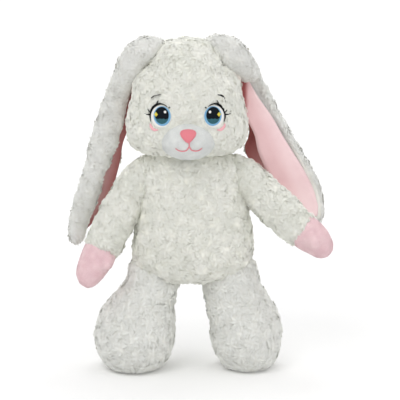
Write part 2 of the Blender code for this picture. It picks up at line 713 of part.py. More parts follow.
def arm(side):
    shoulder = Vector(ARM_BENDS[side][0])
    tip = arm_frame(side, ARM_LENGTH)[0]
    root_way = arm_frame(side, 0)[1]
    root = shoulder - root_way * ARM_ROOT
    pole_step, *root_steps = [-ARM_ROOT * math.cos(math.radians(a)) for a in (25, 50, 70)]
    sleeve_steps = list(np.linspace(0, WRIST - GAP / 2, 8))
    paw_steps = [WRIST + GAP / 2, 114, 122, 130, 138]
    end_steps = [PAW_END + (ARM_LENGTH - PAW_END) * x for x in (0.45, 0.72, 0.9)]

    def rings(steps):
        return [arm_ring(side, s, 14) for s in steps]

    wrist = arm_frame(side, WRIST)[0]
    sleeve = loft(rings(root_steps + sleeve_steps), root, wrist, ["start", "end"])
    solidify(add_object(f"arm_sleeve_{side}", sleeve, "plush", origin=shoulder), SKIN)

    inside_steps = [pole_step] + root_steps + sleeve_steps[:-1] + [WRIST] + paw_steps[1:] + end_steps
    filling_part = add_object(
        f"arm_filling_{side}", loft(rings(inside_steps), root, tip), "filling", origin=shoulder
    )
    draw_in(filling_part, STUFFING_INSET)
    knot_space = ball(f"knot_space_{side}", shoulder, SHOULDER_KNOT + 0.7, segments=16, rings=10)
    mouth = rod(f"knot_mouth_{side}", shoulder, -root_way, SHOULDER_KNOT - 1.0, ARM_ROOT + 5, segments=16)
    cut(filling_part, knot_space, mouth)
    ball(f"shoulder_filling_{side}", shoulder, SHOULDER_KNOT, "filling", segments=14, rings=8)

    paw = loft(rings(paw_steps + end_steps), arm_frame(side, WRIST + GAP / 2)[0], tip)
    paw_part = add_object(f"paw_mitt_{side}", paw, "pink_velour", origin=shoulder)
    thumb_at, thumb_along, width_way, thick_way = arm_frame(side, THUMB_AT)
    inner_way = width_way if width_way.x * (1 if side == "left" else -1) > 0 else -width_way
    across, ahead, back = THUMB_OFFSET
    centre = thumb_at + inner_way * across - thick_way * ahead - thumb_along * back
    bm = bmesh.new()
    bmesh.ops.create_uvsphere(bm, u_segments=14, v_segments=9, radius=1.0)
    bmesh.ops.scale(bm, vec=THUMB_SIZE, verts=bm.verts)
    lean = (thumb_along + inner_way * THUMB_LEAN).normalized()
    turn = Vector((0, 0, 1)).rotation_difference(lean).to_matrix()
    bmesh.ops.rotate(bm, cent=(0, 0, 0), matrix=turn, verts=bm.verts)
    bmesh.ops.translate(bm, vec=centre, verts=bm.verts)
    thumb = add_object(f"thumb_form_{side}", bm, None, origin=centre)
    joined = paw_part.modifiers.new("thumb", "BOOLEAN")
    joined.operation = "UNION"
    joined.object = thumb
    hollow_steps = [WRIST - 8, WRIST - 4, WRIST] + paw_steps[1:] + end_steps
    inside = loft(rings(hollow_steps), arm_frame(side, WRIST - 8)[0], tip)
    hollow = add_object(f"paw_hollow_{side}", inside, None, origin=shoulder)
    draw_in(hollow, SKIN)
    cut(paw_part, hollow)


# ---------------------------------------------------------------- legs


def leg_rings(side, levels, count):
    hip = mirrored(side, HIP)
    rings = []
    for at in np.linspace(0, len(LEG_PROFILE) - 1, levels):
        width, depth, height, out, ahead = by_index(LEG_PROFILE, at)
        offset = FOOT_OFFSET[side]
        middle = (hip.x + offset.x * out, hip.y + offset.y * ahead)
        rings.append(oval(width, depth, height, middle, count, turned=TOE_OUT[side] * out))
    for polar in (66, 44, 24):
        across = HIP_BALL * math.sin(math.radians(polar))
        height = HIP.z + HIP_BALL * math.cos(math.radians(polar))
        rings.append(oval(across, across, height, hip, count))
    return rings


def leg(side):
    hip = mirrored(side, HIP)
    top = hip + Vector((0, 0, HIP_BALL))
    sole_middle = hip + FOOT_OFFSET[side]
    floor = (sole_middle.x, sole_middle.y, LEG_PROFILE[0][2])
    tube = loft(leg_rings(side, 10, 18)[:-1], floor, top, ["start", "end"])
    solidify(add_object(f"leg_skin_{side}", tube, "plush", origin=hip), SKIN)
    wad = loft(leg_rings(side, 10, 18), floor, top)
    draw_in(add_object(f"leg_filling_{side}", wad, "filling", origin=hip), STUFFING_INSET)
    bm = bmesh.new()
    bmesh.ops.create_circle(bm, cap_ends=True, segments=22, radius=1.0)
    bmesh.ops.scale(bm, vec=(LEG_PROFILE[0][0] + 1, LEG_PROFILE[0][1] + 1, 1), verts=bm.verts)
    bmesh.ops.rotate(bm, cent=(0, 0, 0), matrix=Matrix.Rotation(TOE_OUT[side], 3, "Z"), verts=bm.verts)
    bmesh.ops.translate(bm, vec=(sole_middle.x, sole_middle.y, SOLE_THICKNESS), verts=bm.verts)
    sole_middle.z = 0.0
    sole = add_object(f"sole_panel_{side}", bm, "short_pile", origin=sole_middle, smooth=False)
    solidify(sole, SOLE_THICKNESS)


SIDES = ("left", "right")
clear_scene()
parts = new_collection("stuffed_bunny")
cutters = new_collection("cutters")
toy = bpy.data.objects.new("bunny_frame", None)
toy.location = MIDLINE * MM
parts.objects.link(toy)
torso()
closing_thread()
tail()
care_label()
head()
for each in SIDES:
    ear(each)
    arm(each)
    leg(each)
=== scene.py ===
"""Looks of a stuffed bunny rabbit: whorled ivory plush, pink velour and satin-stitched face.

Design points are millimetres from the torso's midline at floor level, as in the CAD source: the toy
faces -Y, +Z is up, and "left" is the side at -X.
"""
import json
import math

import bmesh
import bpy
import numpy as np
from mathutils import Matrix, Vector, kdtree
from mathutils.bvhtree import BVHTree

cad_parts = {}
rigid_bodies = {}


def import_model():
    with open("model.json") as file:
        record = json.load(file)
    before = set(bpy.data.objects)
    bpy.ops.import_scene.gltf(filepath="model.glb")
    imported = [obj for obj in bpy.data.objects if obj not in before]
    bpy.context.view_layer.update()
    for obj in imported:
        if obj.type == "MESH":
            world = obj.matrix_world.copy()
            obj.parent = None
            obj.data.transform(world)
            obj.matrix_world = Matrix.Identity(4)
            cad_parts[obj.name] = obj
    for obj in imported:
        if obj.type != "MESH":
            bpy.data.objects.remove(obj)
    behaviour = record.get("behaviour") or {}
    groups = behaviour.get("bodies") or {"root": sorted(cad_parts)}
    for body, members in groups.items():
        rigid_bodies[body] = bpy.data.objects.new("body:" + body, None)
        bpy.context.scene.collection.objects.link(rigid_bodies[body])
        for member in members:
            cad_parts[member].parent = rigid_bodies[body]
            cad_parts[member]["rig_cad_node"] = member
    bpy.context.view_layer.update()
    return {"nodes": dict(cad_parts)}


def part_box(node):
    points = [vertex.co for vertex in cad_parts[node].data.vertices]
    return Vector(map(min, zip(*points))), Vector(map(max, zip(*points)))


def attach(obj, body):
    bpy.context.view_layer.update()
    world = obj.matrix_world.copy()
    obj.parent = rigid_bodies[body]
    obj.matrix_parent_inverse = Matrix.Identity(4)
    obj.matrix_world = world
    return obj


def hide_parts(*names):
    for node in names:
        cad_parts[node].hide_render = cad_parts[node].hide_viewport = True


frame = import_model()

MM = 0.001
MIDLINE = np.array([-8.32, 6.58, 0.0])
SIDES = ("left", "right")
X, Y = np.eye(3)[:2]
rng = np.random.default_rng(11)


# ---------------------------------------------------------------- meshes


def world(points):
    return (np.asarray(points, float) + MIDLINE) * MM


def new_object(name, mesh):
    made = bpy.data.objects.new(name, mesh)
    bpy.context.scene.collection.objects.link(made)
    return made


def mesh_of(name, points, faces):
    """An object from points in world metres and faces of any size."""
    mesh = bpy.data.meshes.new(name)
    mesh.from_pydata([tuple(p) for p in points], [], [tuple(f) for f in faces])
    mesh.update()
    return new_object(name, mesh)


def triangles_mesh(name, points, triangles):
    """A mesh of triangles, filled straight from arrays."""
    mesh = bpy.data.meshes.new(name)
    mesh.vertices.add(len(points))
    mesh.vertices.foreach_set("co", np.asarray(points, np.float32).ravel())
    mesh.loops.add(len(triangles) * 3)
    mesh.loops.foreach_set("vertex_index", np.asarray(triangles, np.int32).ravel())
    mesh.polygons.add(len(triangles))
    mesh.polygons.foreach_set("loop_start", np.arange(0, len(triangles) * 3, 3, dtype=np.int32))
    mesh.update(calc_edges=True)
    return mesh


def loft(name, rings):
    """A closed body through rings of design points."""
    count = len(rings[0])
    points = [p for ring in rings for p in ring]
    faces = []
    for k in range(len(rings) - 1):
        for i in range(count):
            j = (i + 1) % count
            faces.append((k * count + i, k * count + j, (k + 1) * count + j, (k + 1) * count + i))
    faces.append(tuple(range(count))[::-1])
    faces.append(tuple(range((len(rings) - 1) * count, len(rings) * count)))
    made = mesh_of(name, world(points), faces)
    bm = bmesh.new()
    bm.from_mesh(made.data)
    bmesh.ops.recalc_face_normals(bm, faces=bm.faces)
    bm.to_mesh(made.data)
    bm.free()
    return made


def oval(middle, across, along, half, deep, count, squareness=2.0):
    """A ring of design points about middle, in the plane of the unit vectors across and along."""
    ring = []
    for i in range(count):
        angle = 2 * math.pi * i / count
        c, s = math.cos(angle), math.sin(angle)
        reach = (abs(c) ** squareness + abs(s) ** squareness) ** (-1 / squareness)
        sideways = np.array(across) * half * c * reach
        forward = np.array(along) * deep * s * reach
        ring.append(tuple(np.array(middle) + sideways + forward))
    return ring


def smooth_curve(points, count):
    """count points evenly spaced in index along a smooth curve through points."""
    points = np.asarray(points, float)
    at = np.linspace(0, len(points) - 1, count)
    out = []
    for a in at:
        i = min(int(a), len(points) - 2)
        t = a - i
        p0, p1, p2, p3 = (points[min(max(i + k, 0), len(points) - 1)] for k in (-1, 0, 1, 2))
        slope = p2 - p0
        bow = 2 * p0 - 5 * p1 + 4 * p2 - p3
        twist = 3 * p1 - p0 - 3 * p2 + p3
        out.append(0.5 * (2 * p1 + slope * t + bow * t * t + twist * t**3))
    return np.array(out)


def baked(obj):
    """Applies obj's modifiers."""
    evaluated = obj.evaluated_get(bpy.context.evaluated_depsgraph_get())
    mesh = bpy.data.meshes.new_from_object(evaluated)
    old = obj.data
    obj.modifiers.clear()
    obj.data = mesh
    bpy.data.meshes.remove(old)
    return obj


def joined(name, objects):
    """One object holding all the bodies of several."""
    bm = bmesh.new()
    for o in objects:
        bm.from_mesh(o.data)
    mesh = bpy.data.meshes.new(name)
    bm.to_mesh(mesh)
    bm.free()
    for o in objects:
        if "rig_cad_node" not in o:
            bpy.data.objects.remove(o)
    return new_object(name, mesh)


def fused(obj, voxel, smoothing=4):
    """Melts obj's bodies into one even skin."""
    remesh = obj.modifiers.new("melt", "REMESH")
    remesh.mode = "VOXEL"
    remesh.voxel_size = voxel * MM
    soften = obj.modifiers.new("soften", "SMOOTH")
    soften.factor = 0.5
    soften.iterations = smoothing
    return baked(obj)


def arrays(mesh):
    """A mesh's points, their normals and its triangles."""
    co = np.zeros(len(mesh.vertices) * 3, np.float32)
    mesh.vertices.foreach_get("co", co)
    normals = np.zeros(len(mesh.vertices) * 3, np.float32)
    mesh.vertex_normals.foreach_get("vector", normals)
    mesh.calc_loop_triangles()
    tris = np.zeros(len(mesh.loop_triangles) * 3, np.int32)
    mesh.loop_triangles.foreach_get("vertices", tris)
    return co.reshape(-1, 3).astype(float), normals.reshape(-1, 3).astype(float), tris.reshape(-1, 3)


def design_points(obj):
    return arrays(obj.data)[0] / MM - MIDLINE


def reshaped(obj, co):
    """Moves obj's points to co, in world metres."""
    obj.data.vertices.foreach_set("co", co.astype(np.float32).ravel())
    obj.data.update()
    return obj


def unit(v):
    return v / np.maximum(np.linalg.norm(v, axis=-1, keepdims=True), 1e-12)


def rising(values, zero, one):
    """0 at zero, 1 at one, straight between them and level past them."""
    return np.clip((values - zero) / (one - zero), 0, 1)


def hump(values, middle, width):
    """1 at middle, falling away smoothly over width."""
    return np.exp(-(((values - middle) / width) ** 2))


STUFFING_PRESSURE = 4.0
STUFFING_FRAMES = 16
MOST_SWELL = 2.5


def inflate(objects):
    """Stuffs closed cloth forms: pressure pushes them out while their cloth holds them.

    No point goes further than MOST_SWELL."""
    rest = {}
    for o in objects:
        rest[o.name] = arrays(o.data)[0]
        cloth = o.modifiers.new("stuffing", "CLOTH")
        s = cloth.settings
        s.quality = 5
        s.mass = 0.3
        s.air_damping = 4
        s.tension_stiffness = s.compression_stiffness = 20
        s.shear_stiffness = 8
        s.bending_stiffness = 0.6
        s.use_pressure = True
        s.uniform_pressure_force = STUFFING_PRESSURE
        s.effector_weights.gravity = 0
        cloth.collision_settings.use_collision = False
        cloth.collision_settings.use_self_collision = False
        cloth.point_cache.frame_start = 1
        cloth.point_cache.frame_end = STUFFING_FRAMES
    scene = bpy.context.scene
    scene.frame_start, scene.frame_end = 1, STUFFING_FRAMES
    for f in range(1, STUFFING_FRAMES + 1):
        scene.frame_set(f)
    for o in objects:
        baked(o)
        step = arrays(o.data)[0] - rest[o.name]
        size = np.linalg.norm(step, axis=1, keepdims=True)
        step *= np.minimum(1.0, MOST_SWELL * MM / np.maximum(size, 1e-9))
        reshaped(o, rest[o.name] + step)
    scene.frame_set(1)


# ---------------------------------------------------------------- materials


def ramp(nt, source, stops):
    """Two shades, each at its place along source."""
    node = nt.nodes.new("ShaderNodeValToRGB")
    for element, (at, colour) in zip(node.color_ramp.elements, stops):
        element.position = at
        element.color = (*colour, 1.0)
    nt.links.new(source, node.inputs["Fac"])
    return node.outputs["Color"]


def noise(nt, scale, detail=3.0):
    where = nt.nodes.new("ShaderNodeTexCoord")
    node = nt.nodes.new("ShaderNodeTexNoise")
    node.inputs["Scale"].default_value = scale
    node.inputs["Detail"].default_value = detail
    node.inputs["Roughness"].default_value = 0.55
    nt.links.new(where.outputs["Object"], node.inputs["Vector"])
    return node.outputs["Fac"]


def multiplied(nt, a, b):
    node = nt.nodes.new("ShaderNodeMix")
    node.data_type = "RGBA"
    node.blend_type = "MULTIPLY"
    factor, first, second = node.inputs[0], node.inputs[6], node.inputs[7]
    factor.default_value = 1.0
    nt.links.new(a, first)
    nt.links.new(b, second)
    return node.outputs[2]


def bumped(nt, shader, height, strength, distance):
    node = nt.nodes.new("ShaderNodeBump")
    node.inputs["Strength"].default_value = strength
    node.inputs["Distance"].default_value = distance
    nt.links.new(height, node.inputs["Height"])
    nt.links.new(node.outputs["Normal"], shader.inputs["Normal"])


GRAIN_SCALE = 900.0


def fabric(name, dark, light, scale, sheen=0.0, bump=0.0, painted_light_and_tone=False, soft=0.0):
    """A cloth whose colour wanders between two shades; tone multiplies in painted shade at the pile's roots
    and in the lining's folds, a painted pink reflection, and random brightness.

    soft is how much light passes through the pile."""
    made = bpy.data.materials.new(name)
    made.use_nodes = True
    nt = made.node_tree
    shader = nt.nodes["Principled BSDF"]
    shader.inputs["Roughness"].default_value = 0.9
    shader.inputs["Specular IOR Level"].default_value = 0.15
    shader.inputs["Sheen Weight"].default_value = sheen
    shader.inputs["Subsurface Weight"].default_value = soft
    shader.inputs["Subsurface Radius"].default_value = (1.0, 0.95, 0.85)
    shader.inputs["Subsurface Scale"].default_value = 0.004
    colour = ramp(nt, noise(nt, scale), [(0.35, dark), (0.65, light)])
    if painted_light_and_tone:
        # each point's painted shade and painted pink reflection, with the pile's random brightness
        shade = nt.nodes.new("ShaderNodeAttribute")
        shade.attribute_name = "painted_light_and_tone"
        colour = multiplied(nt, colour, shade.outputs["Color"])
    nt.links.new(colour, shader.inputs["Base Color"])
    if bump:
        bumped(nt, shader, noise(nt, GRAIN_SCALE, 2.0), bump, 0.0006)
    return made


def satin(name, colour, turn, dark, roughness=0.4):
    """Embroidery: close parallel threads with a soft shine, turned, with painted shade in the gaps between
    them.
    """
    made = bpy.data.materials.new(name)
    made.use_nodes = True
    nt = made.node_tree
    shader = nt.nodes["Principled BSDF"]
    shader.inputs["Roughness"].default_value = roughness
    shader.inputs["Specular IOR Level"].default_value = 0.12
    where = nt.nodes.new("ShaderNodeTexCoord")
    spin = nt.nodes.new("ShaderNodeMapping")
    spin.inputs["Rotation"].default_value = (0.0, turn, 0.0)
    nt.links.new(where.outputs["Object"], spin.inputs["Vector"])
    thread = nt.nodes.new("ShaderNodeTexWave")
    thread.inputs["Scale"].default_value = 520.0
    thread.inputs["Distortion"].default_value = 1.2
    thread.inputs["Detail"].default_value = 1.0
    nt.links.new(spin.outputs["Vector"], thread.inputs["Vector"])
    # dark sets the painted shade in the gaps between threads
    shades = [(0.1, tuple(c * dark for c in colour)), (0.8, colour)]
    nt.links.new(ramp(nt, thread.outputs["Fac"], shades), shader.inputs["Base Color"])
    bumped(nt, shader, thread.outputs["Fac"], 0.35, 0.0003)
    return made


IVORY = fabric("ivory_plush", (0.835, 0.842, 0.762), (0.90, 0.90, 0.828), 34,
               sheen=0.15, painted_light_and_tone=True, soft=0.3)
COOL = fabric("cool_plush", (0.835, 0.842, 0.797), (0.895, 0.902, 0.855), 30,
              sheen=0.15, painted_light_and_tone=True, soft=0.3)
WHITE = fabric("white_plush", (0.80, 0.803, 0.765), (0.862, 0.864, 0.83), 30,
               sheen=0.15, painted_light_and_tone=True, soft=0.27)
SMOOTH_WHITE = fabric("muzzle_plush", (0.66, 0.68, 0.68), (0.74, 0.76, 0.755), 60, bump=0.4, painted_light_and_tone=True)
PAW_PINK = fabric("paw_velour", (0.80, 0.56, 0.60), (0.87, 0.65, 0.68), 70,
                  sheen=0.15, bump=0.5, painted_light_and_tone=True)
LINING_PINK = fabric("lining_velour", (0.85, 0.62, 0.64), (0.91, 0.70, 0.715), 26,
                     sheen=0.2, bump=0.4, painted_light_and_tone=True)
SOLE = fabric("sole_cloth", (0.78, 0.78, 0.76), (0.86, 0.86, 0.84), 90, bump=0.4)
TAPE = fabric("label_weave", (0.8, 0.8, 0.79), (0.9, 0.9, 0.89), 400, bump=0.3)
SEAM = fabric("seam_thread", (0.7, 0.69, 0.63), (0.85, 0.84, 0.8), 500)

WHITE_THREAD = satin("white_stitch", (0.86, 0.86, 0.83), 0.3, 0.9)
BLUE_THREAD = satin("blue_stitch", (0.22, 0.47, 0.72), 0.9, 0.82)
TEAL_THREAD = satin("teal_stitch", (0.045, 0.15, 0.18), 0.2, 0.55)
NAVY_THREAD = satin("navy_stitch", (0.003, 0.007, 0.012), 0.2, 0.6, roughness=0.6)
YELLOW_THREAD = satin("yellow_stitch", (0.75, 0.62, 0.08), 0.8, 0.85)
BLACK_THREAD = satin("black_stitch", (0.004, 0.004, 0.005), 1.2, 0.6, roughness=0.6)
BLUSH_THREAD = satin("blush_stitch", (0.93, 0.48, 0.52), 0.7, 0.85)
CORAL_THREAD = satin("coral_stitch", (0.80, 0.24, 0.28), 1.57, 0.85, roughness=0.35)


# ---------------------------------------------------------------- pile

WHORL_SPREAD = 0.62  # how far a whorl's rise spreads, as a share of the whorls' spacing
WHORL_SINK = 0.4  # how far the skin sinks between whorls, as a share of the relief
SHORTEST = 0.1  # locks that reach scales below this are left out
LOCK_CORNERS = [2 * math.pi * k / 3 + math.pi / 2 for k in range(3)]
LOCK_POINTS = 7  # three at its foot, three at its middle and its tip
LOCK_WIDE, LOCK_FLAT = 1.3, 0.45
# Painted shade on the pile: darker skin between the locks and darker lock feet; painted light on the lighter
# tips
SKIN_SHADE, FOOT_SHADE, TIP_SHADE = 0.97, 0.97, 1.01
WARM_BOUNCE = np.array([1.0, 0.985, 0.95])  # painted warm bounce light, strongest where the painted shade is darkest
PAINTED_PINK_REFLECTION = np.array([0.05, 0.30, 0.32])  # painted reflection of the pink cloth: the share of each channel that the pile near it loses
PINK_REACH = 27 * MM


def whorl_centres(points, spacing):
    """Numbers of points about spacing apart, picked at random."""
    order = rng.permutation(len(points))
    free = np.ones(len(points), bool)
    picked = []
    for i in order:
        if free[i]:
            picked.append(i)
            free[np.linalg.norm(points - points[i], axis=1) < spacing] = False
    return picked


def nearest(points, centres):
    """For each point, the number of its nearest centre and how far away that is."""
    tree = kdtree.KDTree(len(centres))
    for i, c in enumerate(centres):
        tree.insert(c, i)
    tree.balance()
    found = [tree.find(p) for p in points]
    return np.array([f[1] for f in found]), np.array([f[2] for f in found])


def flattened(directions, up):
    """Unit directions along a surface that faces up."""
    return unit(directions - up * (directions * up).sum(1, keepdims=True))


def full_length(points):
    return np.ones(len(points))


def swirled(obj, whorl, relief, reach):
    """Raises obj's skin in the middle of each whorl, and returns the whorls' centres."""
    co, normals, _ = arrays(obj.data)
    centres = co[whorl_centres(co, whorl * MM)]
    far = nearest(co, centres)[1]
    rise = np.clip(1 - (far / (WHORL_SPREAD * whorl * MM)) ** 2, 0, 1) - WHORL_SINK
    keep = np.clip(reach(co), 0, 1)
    reshaped(obj, co + normals * (relief * MM * rise * keep)[:, None])
    return centres


def scattered(co, normals, tris, count):
    """Random places spread evenly over a surface, and the way out of it at each."""
    a, b, c = (co[tris[:, k]] for k in range(3))
    area = np.linalg.norm(np.cross(b - a, c - a), axis=1)
    chosen = tris[rng.choice(len(tris), count, p=area / area.sum())]
    u, v = rng.random(count), rng.random(count)
    flip = u + v > 1
    u[flip], v[flip] = 1 - u[flip], 1 - v[flip]
    shares = np.stack([1 - u - v, u, v], 1)[:, :, None]
    return (co[chosen] * shares).sum(1), unit((normals[chosen] * shares).sum(1))


def round_whorls(root, up, centres):
    """The way each lock lies: round its whorl, a little outwards, and a little astray."""
    which = nearest(root, centres)[0]
    out = flattened(root - centres[which], up)
    turn = np.cross(up, out)
    spin = rng.uniform(0.3, 1.0, len(centres)) * rng.choice([-1.0, 1.0], len(centres))
    astray = rng.normal(0, 0.22, root.shape)
    return flattened(unit(turn * spin[which][:, None] + out * 0.55 + astray), up)


def lock_shapes(root, up, way, long, width, lean):
    """Flat three-sided locks that rise from root along way: their points, normals and faces."""
    count = len(root)
    side = np.cross(up, way)
    thick = width * MM * rng.uniform(0.7, 1.2, count)
    stand = rng.uniform(0.5, 1.2, count)
    foot = root - up * (0.8 * MM) - way * (long * 0.12)[:, None]
    middle = root + up * (long * 0.13 * stand)[:, None] + way * (long * 0.42 * lean)[:, None]
    tip = root + up * (long * 0.17 * stand)[:, None] + way * (long * lean)[:, None]
    points = []
    for centre, size in ((foot, 1.0), (middle, 0.85)):
        for angle in LOCK_CORNERS:
            sideways = side * (thick * size * math.cos(angle))[:, None] * LOCK_WIDE
            outwards = up * (thick * size * math.sin(angle))[:, None] * LOCK_FLAT
            points.append(centre + sideways + outwards)
    rounded = [up + side * math.cos(angle) * 0.4 for angle in LOCK_CORNERS]
    normals = rounded + rounded + [up + way * 0.25]
    index = np.arange(count)
    faces = []
    for k in range(3):
        j = (k + 1) % 3
        p, q, r, s, top = (index + corner * count for corner in (k, j, 3 + j, 3 + k, 6))
        faces += [np.stack([p, q, r], 1), np.stack([p, r, s], 1), np.stack([s, r, top], 1)]
    return np.concatenate(points + [tip]), unit(np.concatenate(normals)), np.concatenate(faces)


def toned(mesh, shade, where, near_pink):
    """Colours the mesh's points by shade, which holds painted root shade and random brightness, with a
    painted warm bounce where it is dark and a painted pink reflection near the pink cloth.
    """
    colours = np.ones((len(where), 4), np.float32)
    # painted warm bounce light where the painted shade is darkest
    bounce_warmth = np.clip((1.02 - shade) * 12, 0, 1)[:, None]
    colours[:, :3] = np.clip(shade, 0, 1.1)[:, None] * WARM_BOUNCE**bounce_warmth
    if near_pink is not None:
        # painted pink reflection on the pile near the pink cloth
        pink_reflection = np.clip(1.2 - nearest(where, near_pink)[1] / PINK_REACH, 0, 1)[:, None] ** 1.5
        colours[:, :3] *= 1 - pink_reflection * PAINTED_PINK_REFLECTION
    mesh.attributes.new("painted_light_and_tone", "FLOAT_COLOR", "POINT").data.foreach_set("color", colours.ravel())


def pile(obj, material, length, count, whorl=15.0, relief=1.6, lean=0.95, width=1.7,
         reach=full_length, floor=None, near_pink=None):
    """Covers obj with plush: locks laid round whorls, over a skin that rises in the middle of each.

    Sizes are millimetres, and floor is metres. reach(points) scales the locks' length, and near_pink
    is where the pink cloth is, whose reflection is painted on the pile near it."""
    centres = swirled(obj, whorl, relief, reach)
    co, normals, tris = arrays(obj.data)
    root, up = scattered(co, normals, tris, count)
    long = length * MM * rng.uniform(0.7, 1.15, count)
    scale = reach(root)
    kept = scale > SHORTEST
    root, up, long = root[kept], up[kept], long[kept] * scale[kept]
    way = round_whorls(root, up, centres)
    points, lock_normals, faces = lock_shapes(root, up, way, long, width, lean)
    if floor is not None:
        points[:, 2] = np.maximum(points[:, 2], floor)
    bright = rng.uniform(0.985, 1.015, len(root))
    # painted shade at each lock's foot and painted light at its tip; bright is the lock's random tone
    foot, middle, tip = np.tile(bright * FOOT_SHADE, 3), np.tile(bright, 3), bright * TIP_SHADE
    shade = np.concatenate([np.full(len(co), SKIN_SHADE), foot, middle, tip])

    triangles = np.concatenate([tris, faces + len(co)])
    mesh = triangles_mesh(obj.name, np.concatenate([co, points]), triangles)
    mesh.polygons.foreach_set("use_smooth", np.ones(len(triangles), bool))
    where = np.concatenate([co, np.tile(root, (LOCK_POINTS, 1))])
    toned(mesh, shade, where, near_pink)
    flat_map(mesh, where, np.concatenate([normals, np.tile(up, (LOCK_POINTS, 1))]), triangles)
    corners = np.concatenate([unit(normals), lock_normals])[triangles.ravel()]
    first_under, last_under = len(tris) + 3 * len(root), len(tris) + 6 * len(root)
    corners[3 * first_under:3 * last_under] *= -1  # the locks' undersides face the skin
    mesh.normals_split_custom_set(corners.tolist())
    old = obj.data
    obj.data = mesh
    bpy.data.meshes.remove(old)
    mesh.materials.append(material)


def flat_map(mesh, where, normals, faces):
    """The piece's own unwrap: its front half left, its back half right, and tufts where they grow."""
    low, high = where.min(0), where.max(0)
    across = (where[:, 0] - low[0]) / max(high[0] - low[0], 1e-6)
    height = (where[:, 2] - low[2]) / max(high[2] - low[2], 1e-6)
    back = np.repeat(normals[faces].mean(1)[:, 1] > 0, 3)
    corner = faces.ravel()
    nudge = np.tile([[0.0, 0.0], [0.003, 0.0], [0.0, 0.003]], (len(faces), 1))
    uv = np.stack([0.01 + 0.47 * across[corner] + 0.5 * back, 0.01 + 0.97 * height[corner]], 1) + nudge
    layer = mesh.uv_layers.new(name="OFBake")
    layer.data.foreach_set("uv", uv.astype(np.float32).ravel())


# ---------------------------------------------------------------- forms

VOXEL = 4.0
HEAD_X = -7.0
EYE_Z = 305.0

# Torso: height, middle x, half width, middle y, half depth
TORSO = [
    (103, -2, 18, -8, 16), (106, -2, 38, -8, 34), (114, -2, 58, -8, 44), (130, -2, 71, -9, 49),
    (160, 0, 70, -9, 47), (190, 0, 65, -8.5, 44), (212, -1.5, 61, -9, 42), (232, -4, 60, -10, 40),
    (246, -5, 57, -10, 37), (257, -6, 47, -9, 31), (265, -7, 26, -8, 20),
]
# Legs: height, middle x, half width, middle y, half depth
LEGS = {
    "left": [
        (2, -71, 33, -25, 42), (7, -71, 35.5, -25, 44), (14, -71, 41, -26, 49),
        (24, -71, 44.5, -26, 51.5), (36, -71, 47, -26, 51), (48, -70.5, 47.5, -25, 48),
        (58, -69.5, 46, -22, 44), (70, -67.5, 43, -18, 40), (84, -60, 37.5, -14, 37),
        (97, -52.5, 33.5, -11, 35), (112, -48.5, 31, -10, 33), (126, -47, 28, -9, 28),
        (134, -46, 18, -9, 18),
    ],
    "right": [
        (2, 64, 30, -20, 40), (7, 64, 32, -20, 42), (14, 64, 36, -21, 47),
        (24, 63.5, 39, -22, 50), (36, 62.5, 41.5, -22, 50), (48, 62.5, 42.5, -21, 47),
        (58, 61, 41.8, -19, 43), (70, 57.5, 41, -16, 39), (84, 51.5, 38, -13, 37),
        (97, 46, 35, -11, 35), (112, 44.5, 32, -10, 33), (126, 44, 28, -9, 28),
        (134, 43, 18, -9, 18),
    ],
}
ANKLE_X = {"left": -58, "right": 46}
ANKLE_HEIGHT = 80
# Arms, paws and thumbs: middle, half width across the front, half depth
ARMS = {
    "left": [((-46, -9, 240), 17, 17), ((-62, -10, 230), 20.5, 20), ((-77, -13, 206), 22.5, 21),
             ((-92, -20, 180), 23, 21), ((-103, -26, 158), 22, 20), ((-110, -30, 143), 20.5, 19)],
    "right": [((40, -9, 240), 17, 17), ((58, -11, 231), 20.5, 20), ((80, -20, 211), 22.5, 21),
              ((103, -33, 190), 23, 22), ((120, -45, 175), 22, 21), ((130, -52, 166), 20.5, 20)],
}
PAWS = {
    "left": [((-108, -29, 149), 19, 16), ((-112, -31, 140), 20, 17), ((-118, -34, 128), 19, 16.5),
             ((-124, -37, 116), 16.5, 14.5), ((-128, -39, 107), 12, 11), ((-131, -40, 102), 5, 5)],
    "right": [((126, -49, 172), 20, 17), ((133, -54, 166.5), 20, 17.5), ((141, -60, 161), 18.5, 17),
              ((148, -65, 154.5), 15.5, 15), ((154, -68, 149.5), 12, 11), ((158, -70, 146.5), 5, 5)],
}
THUMBS = {
    "left": [((-106, -38, 141), 6, 6), ((-102, -43, 135), 8, 8), ((-103, -46, 128), 7.5, 7.5),
             ((-105, -47, 122), 3, 3)],
    "right": [((128, -64, 165), 6, 6), ((134, -72, 163), 8, 8), ((140, -79, 160), 7.5, 7.5),
              ((145, -83, 158), 3, 3)],
}
# Ears and their linings: outer edge and inner edge down the ear; the fronts add their depth
EAR_LEFT = [
    ((-46, 395.5), (-31, 385), -13), ((-65, 393), (-38, 377), -18), ((-80, 383), (-47, 367), -20),
    ((-91.5, 362), (-60, 354), -14), ((-101, 337), (-70, 336), -3), ((-109, 319), (-78, 318), 10),
    ((-117, 296), (-83, 295), 11), ((-124.5, 272), (-90, 273), 12), ((-131, 245), (-99, 248), 12),
    ((-139, 218), (-110, 222), 12), ((-145, 198), (-116, 199), 12), ((-151, 174), (-127, 175), 12),
    ((-153, 155), (-131, 156), 12), ((-147, 143.5), (-139, 143.5), 12),
]
EAR_LEFT_REAR = [
    ((-86, 366), (-76, 362)), ((-91, 354), (-70, 347)), ((-98, 337), (-73, 330)), ((-107, 319), (-78, 310)),
    ((-115, 296), (-81, 288)), ((-123, 272), (-86, 266)), ((-129, 245), (-89.5, 245)),
    ((-135, 218), (-95, 224)), ((-140, 198), (-102, 200)), ((-147, 174), (-118, 175)),
    ((-148, 160), (-132, 160)),
]
